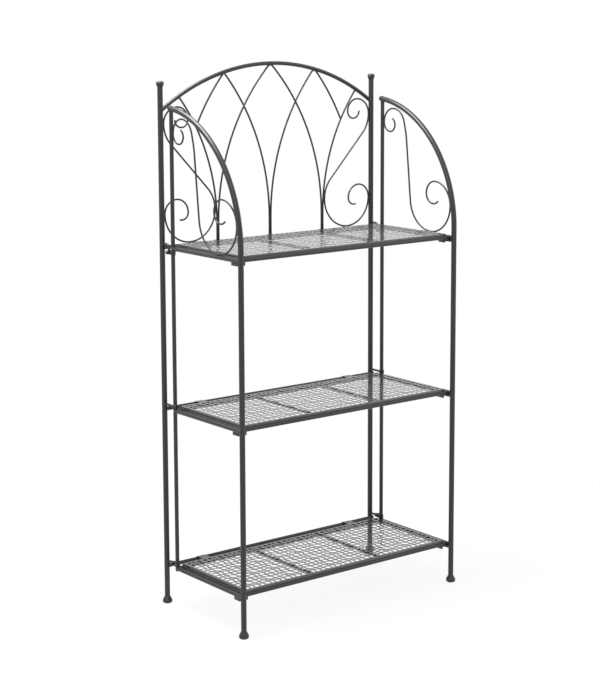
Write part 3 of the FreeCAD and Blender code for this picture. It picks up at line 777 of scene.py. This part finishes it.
def ribbon(path, normals, width_axis, width, thickness):
    """Points and faces of a flat strap along a path; the normals say which way its thickness goes."""
    points, faces = [], []
    across = width_axis * (width / 2)
    for place, normal in zip(path, normals):
        out = normal * (thickness / 2)
        points += [place - across - out, place + across - out, place + across + out, place - across + out]
    for start in range(0, len(points) - 4, 4):
        for edge in range(4):
            after = (edge + 1) % 4
            faces.append((start + edge, start + after, start + 4 + after, start + 4 + edge))
    last = len(points) - 4
    faces += [(3, 2, 1, 0), (last, last + 1, last + 2, last + 3)]
    return points, faces


def block(low, high, bevel):
    """Points and faces of a block with softened edges."""
    shape = bmesh.new()
    bmesh.ops.create_cube(shape, size=1.0)
    size, centre = high - low, (low + high) / 2
    for vertex in shape.verts:
        vertex.co = vertex.co * size + centre
    bmesh.ops.bevel(shape, geom=shape.edges[:], offset=bevel, segments=2, affect="EDGES")
    shape.verts.index_update()
    points = [vertex.co.copy() for vertex in shape.verts]
    faces = [tuple(vertex.index for vertex in face.verts) for face in shape.faces]
    shape.free()
    return points, faces


def strand_shifts(cell, sheet):
    """How far the strands' crossings leave a straight grid, for the crossings of one tile."""
    dice = random.Random(STRAND_SEED)
    shifts = {}
    for column in range(TILE):
        for row in range(TILE):
            shift = []
            for size, step, other in zip(cell, (column, row), (row, column)):
                if step == 0:
                    away = dice.uniform(-SEAM_SWAY, SEAM_SWAY) * sheet.sway
                else:
                    away = dice.uniform(-1, 1) * sheet.sway + sheet.wave * math.sin(math.tau * other / TILE)
                    away += sheet.swell * (-1 if step % 2 == 0 else 1)
                shift.append(size * away)
            shifts[column, row] = shift
    return shifts


def crossing(column, row, cell, shifts):
    """Place of a crossing of the strands, counted from the pattern's front left corner."""
    shift = shifts[column % TILE, row % TILE]
    return Vector((column * cell[0] + shift[0], row * cell[1] + shift[1], 0))


def split_sides(corners):
    """Places round a loop of corners, with each side cut into equal parts."""
    ends = corners[1:] + corners[:1]
    return [one.lerp(two, part / SIDE_PARTS) for one, two in zip(corners, ends) for part in range(SIDE_PARTS)]


def punched_tile(cell, sheet, shifts):
    """Points and faces of one tile of the pattern, with a round-cornered hole in each uneven cell."""
    dice = random.Random(HOLE_SEED)
    points, faces = [], []
    tile_centre = Vector((TILE * cell[0] / 2, TILE * cell[1] / 2, 0))
    for column in range(TILE):
        for row in range(TILE):
            steps = ((0, 0), (1, 0), (1, 1), (0, 1))
            corners = [crossing(column + x, row + y, cell, shifts) - tile_centre for x, y in steps]
            centre = sum(corners, Vector((0, 0, 0))) / 4
            rim = split_sides(corners)
            count = len(rim)
            opening = sheet.opening * dice.uniform(*HOLE_SPREAD)
            hole = []
            for index, place in enumerate(rim):
                rounding = HOLE_ROUNDING if index % SIDE_PARTS == 0 else 1.0
                hole.append(centre + (place - centre) * opening * rounding)
            start = len(points)
            for ring, height in ((rim, 0), (hole, 0), (hole, -sheet.thickness), (rim, -sheet.thickness)):
                points += [corner + Vector((0, 0, height)) for corner in ring]
            for low in range(start, start + 3 * count, count):
                for index in range(count):
                    after = (index + 1) % count
                    faces.append((low + index, low + after, low + count + after, low + count + index))
    return points, faces


def field_rim(low, cell, sheet, shifts):
    """Places round the pattern, at the parts of its outer cells' sides."""
    across, along = sheet.columns * TILE, sheet.rows * TILE
    steps = [(place, 0) for place in range(across)] + [(across, place) for place in range(along)]
    steps += [(place, along) for place in range(across, 0, -1)]
    steps += [(0, place) for place in range(along, 0, -1)]
    return split_sides([crossing(column, row, cell, shifts) + low for column, row in steps])


def rounded_loop(low, high, inset, height, marks):
    """Points round a rectangle with rounded corners; marks are extra places along its rear."""
    radius = max(SHEET_CORNER - inset, TIGHTEST_CORNER)
    left, right = low.x + inset + radius, high.x - inset - radius
    front, rear = low.y + inset + radius, high.y - inset - radius
    points = []
    for x, y, start in ((right, front, -90), (right, rear, 0), (left, rear, 90), (left, front, 180)):
        for step in range(QUARTER_STEPS + 1):
            angle = math.radians(start + step * 90 / QUARTER_STEPS)
            points.append(Vector((x + radius * math.cos(angle), y + radius * math.sin(angle), height)))
        if start == 0:
            points += [Vector((mark, rear + radius, height)) for mark in sorted(marks, reverse=True)]
    return points


def sheet_edge(low, high, rim, sheet, notches):
    """Border and turned-down lip of a sheet, with notches in the rear lip for the hinge loops."""
    shape = bmesh.new()
    marks = [mark + slope for notch in notches for mark in notch for slope in (-NOTCH_SLOPE, NOTCH_SLOPE)]
    top, wall, bend = high.z, sheet.thickness, sheet.bend
    angles = [math.pi / 2 * step / QUARTER_STEPS for step in range(QUARTER_STEPS + 1)]
    turns = [(1 - math.sin(angle), 1 - math.cos(angle)) for angle in angles]
    outside = [(bend * inset, bend * drop) for inset, drop in turns]
    inside = [(wall + (bend - wall) * inset, wall + (bend - wall) * drop) for inset, drop in reversed(turns)]
    feet = [rounded_loop(low, high, inset, low.z, marks) for inset in (0, wall)]
    for point in feet[0] + feet[1]:
        behind = point.y > high.y - 2 * wall
        if behind and any(start < point.x < end for start, end in notches):
            point.z += NOTCH_RISE
    loops = [rounded_loop(low, high, inset, top - drop, marks) for inset, drop in outside]
    loops += feet
    loops += [rounded_loop(low, high, inset, top - drop, marks) for inset, drop in inside]
    rows = [[shape.verts.new(point) for point in loop] for loop in loops]
    for one, two in zip(rows, rows[1:]):
        for index in range(len(one)):
            after = (index + 1) % len(one)
            shape.faces.new((one[index], one[after], two[after], two[index]))
    for row, height in ((rows[0], top), (rows[-1], top - wall)):
        field = [shape.verts.new((place[0], place[1], height)) for place in rim]
        edges = [shape.edges.new((field[index - 1], field[index])) for index in range(len(field))]
        edges += [shape.edges.get((row[index - 1], row[index])) for index in range(len(row))]
        bmesh.ops.triangle_fill(shape, use_beauty=True, edges=edges)
    bmesh.ops.recalc_face_normals(shape, faces=shape.faces)
    mesh = bpy.data.meshes.new("sheet_edge")
    shape.to_mesh(mesh)
    shape.free()
    return mesh


def join(made, mesh, nearest=None):
    """Join a mesh to an object's own, and merge points that lie nearer than a distance, where it is given."""
    shape = bmesh.new()
    shape.from_mesh(made.data)
    shape.from_mesh(mesh)
    if nearest:
        bmesh.ops.remove_doubles(shape, verts=shape.verts, dist=nearest)
        bmesh.ops.recalc_face_normals(shape, faces=shape.faces)
    shape.to_mesh(made.data)
    shape.free()


class ShelvingOperator:
    """What the operators share."""

    bl_options = {"REGISTER", "UNDO"}


class SHELVING_OT_stage(ShelvingOperator, bpy.types.Operator):
    """Lay the pale floor, light the studio and set the camera"""

    bl_idname = "shelving.stage"
    bl_label = "Stage"

    def execute(self, context):
        scene = context.scene
        scene.view_settings.view_transform = "Standard"
        corners = [(x * FLOOR_REACH, y * FLOOR_REACH, 0) for x, y in ((-1, -1), (1, -1), (1, 1), (-1, 1))]
        floor = mesh_object("floor", corners, (), [(0, 1, 2, 3)])
        floor.data.materials.append(floor_finish())
        for name, (place, size, power) in LAMPS.items():
            self.light(name, place, size, power)
        self.backdrop(scene)
        self.camera(scene)
        return {"FINISHED"}

    def light(self, name, place, size, power):
        """A soft square lamp that looks at the unit's middle."""
        lamp = bpy.data.lights.new(name, "AREA")
        lamp.size = size
        lamp.energy = power
        made = bpy.data.objects.new(name, lamp)
        made.location = place
        made.rotation_euler = (LAMP_AIM - Vector(place)).to_track_quat("-Z", "Y").to_euler()
        bpy.context.scene.collection.objects.link(made)

    def backdrop(self, scene):
        """White to the camera and to gloss, softer as a light."""
        scene.world = bpy.data.worlds.new("studio")
        net = empty_net(scene.world)
        strength = bright_rays(net) * (1 - WORLD_LIGHT) + WORLD_LIGHT
        back = net.node("ShaderNodeBackground", None, {"Color": (1, 1, 1, 1), "Strength": strength})
        net.node("ShaderNodeOutputWorld", None, {"Surface": back})

    def camera(self, scene):
        """A camera at the photograph's viewing angle."""
        lens = bpy.data.cameras.new("camera")
        lens.sensor_width = SENSOR
        lens.lens = SENSOR * FOCAL_PIXELS / PICTURE_PIXELS
        lens.shift_x, lens.shift_y = CAMERA_SHIFT
        camera = bpy.data.objects.new("camera", lens)
        camera.location = CAMERA_PLACE
        camera.rotation_euler = Euler([math.radians(turn) for turn in (90 - PITCH, ROLL, -YAW)])
        scene.collection.objects.link(camera)
        scene.camera = camera


class SHELVING_OT_arches(ShelvingOperator, bpy.types.Operator):
    """Bend the back arch and the bows of the side frames"""

    bl_idname = "shelving.arches"
    bl_label = "Arches"

    def execute(self, context):
        wires = context.scene.shelving_wires
        layout = Layout(wires)
        arch = tubes("back_arch_tube", [layout.back_arch()], wires.rod, ROD_SIDES)
        settle(arch, "rear_frame", ["back_arch"])
        for name, side in SIDES.items():
            bow = tubes("bow_" + name, [layout.bow(side)], wires.post, BOW_SIDES)
            settle(bow, "side_frame_" + name, ["side_arch_" + name])
        return {"FINISHED"}


class SHELVING_OT_lattice(ShelvingOperator, bpy.types.Operator):
    """Bend the crossing wires of the arched lattice"""

    bl_idname = "shelving.lattice"
    bl_label = "Lattice"

    def execute(self, context):
        wires = context.scene.shelving_wires
        lattice = tubes("lattice_wires", Layout(wires).lattice(), wires.lattice)
        kinds = ("outer", "inner", "centre", "short")
        nodes = [f"lattice_{kind}_{name}" for kind in kinds for name in SIDES]
        settle(lattice, "rear_frame", nodes)
        return {"FINISHED"}


class SHELVING_OT_scrolls(ShelvingOperator, bpy.types.Operator):
    """Bend the scrolls of the back and of the side frames"""

    bl_idname = "shelving.scrolls"
    bl_label = "Scrolls"

    def execute(self, context):
        wires = context.scene.shelving_wires
        layout = Layout(wires)
        lines = [layout.back_scroll(side) for side in SIDES.values()]
        back = tubes("back_scroll_wires", lines, wires.scroll)
        settle(back, "rear_frame", ["back_scroll_" + name for name in SIDES])
        for name, side in SIDES.items():
            scroll = tubes("side_scroll_wire_" + name, [layout.side_scroll(side)], wires.scroll)
            settle(scroll, "side_frame_" + name, ["side_scroll_" + name])
        return {"FINISHED"}


class SHELVING_OT_side_rails(ShelvingOperator, bpy.types.Operator):
    """Set the rails between the front posts and the uprights"""

    bl_idname = "shelving.side_rails"
    bl_label = "Side rails"

    def execute(self, context):
        wires = context.scene.shelving_wires
        front, rear = wires.post * BAR_END - POST_Y, UPRIGHT_Y - wires.rod * RAIL_END
        for name, side in SIDES.items():
            bars = []
            for level in LEVELS.values():
                start, end = in_side([(front, level), (rear, level)], side)
                bars.append(round_bar(start, end, wires.rod, sides=ROD_SIDES))
            rails = gather("side_rail_rods_" + name, bars)
            nodes = [f"side_rail_{place}_{name}" for place in LEVEL_NAMES]
            settle(rails, "side_frame_" + name, nodes)
        return {"FINISHED"}


class SHELVING_OT_shelf_rods(ShelvingOperator, bpy.types.Operator):
    """Set the rods that the sheets stand on and the cross rods below them"""

    bl_idname = "shelving.shelf_rods"
    bl_label = "Shelf rods"

    def execute(self, context):
        wires = context.scene.shelving_wires
        radius, thin = wires.shelf_rod, wires.cross_rod
        for name in LEVEL_NAMES:
            low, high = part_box("shelf_frame_" + name)
            height = (low.z + high.z) / 2
            bars = []
            for along in (low.y + radius, high.y - radius):
                start, end = Vector((low.x, along, height)), Vector((high.x, along, height))
                bars.append(round_bar(start, end, radius, ROD_EDGE))
            front, rear = low.y + radius * (1 + BAR_END), high.y - radius * (1 + BAR_END)
            bars += self.lengthwise((low.x + radius, high.x - radius), front, rear, height, radius)
            rods = gather("shelf_rods_" + name, bars)
            settle(rods, "shelf_" + name, ["shelf_frame_" + name])
            low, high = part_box("cross_rods_" + name)
            front, rear, height = low.y - radius * BAR_END, high.y + radius * BAR_END, (low.z + high.z) / 2
            bars = self.lengthwise((low.x + thin, high.x - thin), front, rear, height, thin)
            cross = gather("cross_rod_pair_" + name, bars)
            settle(cross, "shelf_" + name, ["cross_rods_" + name])
        return {"FINISHED"}

    def lengthwise(self, places, front, rear, height, radius):
        """Bars from front to rear at each place across."""
        return [round_bar(Vector((x, front, height)), Vector((x, rear, height)), radius) for x in places]


class SHELVING_OT_sheets(ShelvingOperator, bpy.types.Operator):
    """Punch the shelf sheets and turn their edges down"""

    bl_idname = "shelving.sheets"
    bl_label = "Perforated sheets"

    def execute(self, context):
        sheet = context.scene.shelving_sheet
        border = Vector((sheet.border, sheet.border, 0))
        half = LOOP_WIDTH / 2 + NOTCH_GAP
        notches = [(side * LOOP_X - half, side * LOOP_X + half) for side in SIDES.values()]
        tree = punched_tree()
        for name in LEVEL_NAMES:
            low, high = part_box("shelf_panel_" + name)
            field = high - low - border * 2
            cell = (field.x / (sheet.columns * TILE), field.y / (sheet.rows * TILE))
            shifts = strand_shifts(cell, sheet)
            points, faces = punched_tile(cell, sheet, shifts)
            made = mesh_object("shelf_sheet_" + name, points, (), faces)
            centre = (low + high) / 2
            values = {
                "Columns": sheet.columns,
                "Rows": sheet.rows,
                "Column Pitch": cell[0] * TILE,
                "Row Pitch": cell[1] * TILE,
                "Centre": (centre.x, centre.y, high.z),
                "Paint": paint_of("perforated_sheet_paint"),
            }
            run_tree(made, tree, values)
            rim = field_rim(low + border, cell, sheet, shifts)
            join(made, sheet_edge(low, high, rim, sheet, notches), ONE_PLACE)
            settle(made, "shelf_" + name, ["shelf_panel_" + name])
        return {"FINISHED"}


class SHELVING_OT_hinge_straps(ShelvingOperator, bpy.types.Operator):
    """Roll the shelves' hinge loops and the clips round the uprights"""

    bl_idname = "shelving.hinge_straps"
    bl_label = "Hinge straps"

    def execute(self, context):
        rod = context.scene.shelving_wires.rod
        for name, level in LEVELS.items():
            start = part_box("hinge_loops_" + name)[0].y
            parts = [self.loop(side * LOOP_X, start, level, rod) for side in SIDES.values()]
            loops = gather("rolled_loops_" + name, parts)
            settle(loops, "shelf_" + name, ["hinge_loops_" + name])
        parts = [self.clip(side, height, rod) for side in SIDES.values() for height in CLIP_HEIGHTS]
        clips = gather("upright_clips", parts)
        settle(clips, "rear_frame", ["hinge_clips"])
        return {"FINISHED"}

    def loop(self, x, start, level, rod):
        """Strap that lies on the shelf's rear rod and rolls round the back rail."""
        radius = rod + LOOP_RISE
        path = [Vector((x, start, level + radius)), Vector((x, RAIL_Y, level + radius))]
        normals = [Vector((0, 0, 1)), Vector((0, 0, 1))]
        for step in range(1, LOOP_STEPS + 1):
            angle = math.radians(90 - step * LOOP_STEP_TURN)
            normal = Vector((0, math.cos(angle), math.sin(angle)))
            path.append(Vector((x, RAIL_Y, level)) + normal * radius)
            normals.append(normal)
        return ribbon(path, normals, Vector((1, 0, 0)), LOOP_WIDTH, LOOP_WALL)

    def clip(self, side, height, rod):
        """Strap round the upright with two ears for the bolt."""
        x, radius, reach = side * POST_X, rod + CLIP_RISE, BOLT_Y + CLIP_EAR
        start = math.degrees(math.asin(CLIP_GAP / radius))
        inner = UPRIGHT_Y + radius * math.cos(math.radians(start))
        path = [Vector((x + CLIP_GAP, reach, height)), Vector((x + CLIP_GAP, inner, height))]
        normals = [Vector((1, 0, 0)), Vector((1, 0, 0))]
        for step in range(1, CLIP_STEPS):
            angle = math.radians(90 - start - (360 - 2 * start) * step / CLIP_STEPS)
            normal = Vector((math.cos(angle), math.sin(angle), 0))
            path.append(Vector((x, UPRIGHT_Y, height)) + normal * radius)
            normals.append(normal)
        path += [Vector((x - CLIP_GAP, inner, height)), Vector((x - CLIP_GAP, reach, height))]
        normals += [Vector((-1, 0, 0)), Vector((-1, 0, 0))]
        return ribbon(path, normals, Vector((0, 0, 1)), CLIP_WIDTH, CLIP_WALL)


class SHELVING_OT_hinge_arms(ShelvingOperator, bpy.types.Operator):
    """Set the arms that join the rear posts to the hinge clips and eyes"""

    bl_idname = "shelving.hinge_arms"
    bl_label = "Hinge arms"

    def execute(self, context):
        wires = context.scene.shelving_wires
        wall, half = POST_Y - wires.post * BAR_END, TANG_WIDTH / 2
        low, high = CLIP_HEIGHTS
        tang = self.tang(BOLT_Y - TANG_LAP, BOLT_Y + TANG_REACH, low - half, low + half)
        self.arms("bottom", [(wall, low), (BOLT_Y + SHANK_REACH, low)], tang, wires.arm)
        end = UPRIGHT_Y + wires.rod + EYE_SINK
        self.arms("middle", [(wall, EYE_HEIGHT), (end, EYE_HEIGHT)], self.eye(wires.rod), wires.arm)
        start = (wall, LEVELS["top"] + wires.rod + HOOK_GAP + wires.arm)
        steps = [(start[0] - BOLT_Y - HOOK_BEND, 0), (HOOK_BEND, 90)]
        end, _ = walk_end(start, 180, steps)
        top = high + CLIP_WIDTH / 2 + wires.arm
        steps.append((end[1] - top + HOOK_LAP, 0))
        tang = self.tang(BOLT_Y - half, BOLT_Y + half, high - CLIP_WIDTH / 2, top)
        self.arms("top", trail(start, 180, steps, HOOK_STEP), tang, wires.arm)
        return {"FINISHED"}

    def arms(self, level, line, end, radius):
        """The two arms at one level, each with its flattened end or its eye."""
        made = tubes("arms_" + level, [in_side(line, side) for side in SIDES.values()], radius, ARM_SIDES)
        ends = gather("ends", [moved(end, Vector((side * POST_X, 0, 0))) for side in SIDES.values()])
        join(made, ends.data)
        bpy.data.objects.remove(ends)
        settle(made, "rear_frame", ["hinge_arms_" + level])

    def tang(self, front, rear, low, high):
        """Flattened end of an arm, in the unit's middle plane."""
        half = TANG_WALL / 2
        return block(Vector((-half, front, low)), Vector((half, rear, high)), TANG_BEVEL)

    def eye(self, rod):
        """Plain eye round the upright, in the unit's middle plane."""
        bore, rim, half = rod + EYE_GAP, rod + EYE_GAP + EYE_WALL, CLIP_WIDTH / 2
        outline = [(bore, -half), (rim - SOFT_EDGE, -half), (rim, SOFT_EDGE - half), (rim, half - SOFT_EDGE)]
        outline += [(rim - SOFT_EDGE, half), (bore, half), (bore, -half)]
        return moved(lathe(outline, EYE_SIDES), Vector((0, UPRIGHT_Y, EYE_HEIGHT)))


class SHELVING_OT_fasteners(ShelvingOperator, bpy.types.Operator):
    """Set the bolts and the dome nuts of the clips"""

    bl_idname = "shelving.fasteners"
    bl_label = "Fasteners"

    def execute(self, context):
        bolt, dome = lathe(metres(BOLT), ROD_SIDES), lathe(metres(DOME), ROD_SIDES)
        nut = lathe([(radius / math.cos(math.pi / 6), run) for radius, run in metres(NUT)], 6)
        bolts, nuts = [], []
        for side in SIDES.values():
            for height in CLIP_HEIGHTS:
                place = Vector((side * POST_X, BOLT_Y, height))
                bolts.append(self.outboard(bolt, place, side))
                nuts += [self.outboard(part, place, side) for part in (nut, dome)]
        for kind, parts in (("bolts", bolts), ("dome_nuts", nuts)):
            made = gather("clip_" + kind, parts, "fastener_paint")
            settle(made, "rear_frame", ["hinge_" + kind])
        return {"FINISHED"}

    def outboard(self, part, place, side):
        """Turn a part's height outboard and put it in place."""
        points, faces = part
        return [place + Vector((side * point.z, point.y, point.x)) for point in points], faces


class SHELVING_OT_turned_ends(ShelvingOperator, bpy.types.Operator):
    """Turn the feet and the ball finials"""

    bl_idname = "shelving.turned_ends"
    bl_label = "Feet and finials"

    def execute(self, context):
        post = context.scene.shelving_wires.post
        foot_top, finial_top = FOOT[-1][1] * MM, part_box("finials")[1].z
        foot = lathe(metres(FOOT) + [(post, foot_top), (post, foot_top - FOOT_LAP)], TURNED_SIDES)
        finial = lathe([(radius, finial_top + height) for radius, height in metres(FINIAL)], TURNED_SIDES)
        corners = [Vector((side * POST_X, POST_Y, 0)) for side in SIDES.values()]
        rear = gather("rear_bell_feet", [moved(foot, corner) for corner in corners])
        settle(rear, "rear_frame", ["rear_feet"])
        for name, side in SIDES.items():
            front = gather("front_bell_foot_" + name, [moved(foot, Vector((side * POST_X, -POST_Y, 0)))])
            settle(front, "side_frame_" + name, ["front_foot_" + name])
        balls = gather("ball_finials", [moved(finial, corner) for corner in corners])
        settle(balls, "rear_frame", ["finials"])
        return {"FINISHED"}


class SHELVING_OT_welds(ShelvingOperator, bpy.types.Operator):
    """Bead the welds where wires meet posts and arches"""

    bl_idname = "shelving.welds"
    bl_label = "Welds"

    def execute(self, context):
        wires = context.scene.shelving_wires
        layout = Layout(wires)
        places = []
        for side in SIDES.values():
            for line in (layout.outer_wire(), layout.centre_wire()):
                across, up = line[-1]
                places += in_back([(across, up - wires.rod * APEX_SINK)], side)
            places += in_back([(POST_X - wires.post, layout.shoulder)], side)
        places += in_back([(0, layout.crown - wires.rod * CROWN_SINK)])
        beads = mesh_object("rear_weld_beads", places)
        values = {"Radius": wires.bead, "Seed": BEAD_SEED, "Paint": paint_of("dark_metal_paint")}
        run_tree(beads, bead_tree(), values)
        settle(beads, "rear_frame")
        return {"FINISHED"}


class SHELVING_OT_paint(ShelvingOperator, bpy.types.Operator):
    """Paint the CAD pieces that stay in view"""

    bl_idname = "shelving.paint"
    bl_label = "Paint"

    def execute(self, context):
        paint = paint_of("dark_metal_paint")
        for name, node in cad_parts.items():
            if not any(word in name for word in KEPT_NODES):
                continue
            if not node.material_slots:
                node.data.materials.append(paint)
            for slot in node.material_slots:
                slot.material = paint
        return {"FINISHED"}


class SHELVING_PT_panel(bpy.types.Panel):
    """Steps that make the shelving unit's looks, in order"""

    bl_label = "Shelving unit"
    bl_idname = "SHELVING_PT_panel"
    bl_space_type = "VIEW_3D"
    bl_region_type = "UI"
    bl_category = "Shelving"

    def draw(self, context):
        for step in STEPS:
            self.layout.operator(step.bl_idname)


GROUPS = {
    "shelving_wires": ShelvingWires,
    "shelving_sheet": ShelvingSheet,
    "shelving_paint": ShelvingPaint,
}
STEPS = (
    SHELVING_OT_stage,
    SHELVING_OT_arches,
    SHELVING_OT_lattice,
    SHELVING_OT_scrolls,
    SHELVING_OT_side_rails,
    SHELVING_OT_shelf_rods,
    SHELVING_OT_sheets,
    SHELVING_OT_hinge_straps,
    SHELVING_OT_hinge_arms,
    SHELVING_OT_fasteners,
    SHELVING_OT_turned_ends,
    SHELVING_OT_welds,
    SHELVING_OT_paint,
)


def register():
    """Add the settings, the operators and the panel."""
    for name, group in GROUPS.items():
        bpy.utils.register_class(group)
        setattr(bpy.types.Scene, name, bpy.props.PointerProperty(type=group))
    for step in (*STEPS, SHELVING_PT_panel):
        bpy.utils.register_class(step)


def unregister():
    """Take them away again."""
    for step in reversed((*STEPS, SHELVING_PT_panel)):
        bpy.utils.unregister_class(step)
    for name, group in GROUPS.items():
        delattr(bpy.types.Scene, name)
        bpy.utils.unregister_class(group)


def main():
    """Make the looks in order."""
    register()
    for step in STEPS:
        family, name = step.bl_idname.split(".")
        getattr(getattr(bpy.ops, family), name)()
    bpy.context.view_layer.update()


if __name__ == "__main__":
    main()
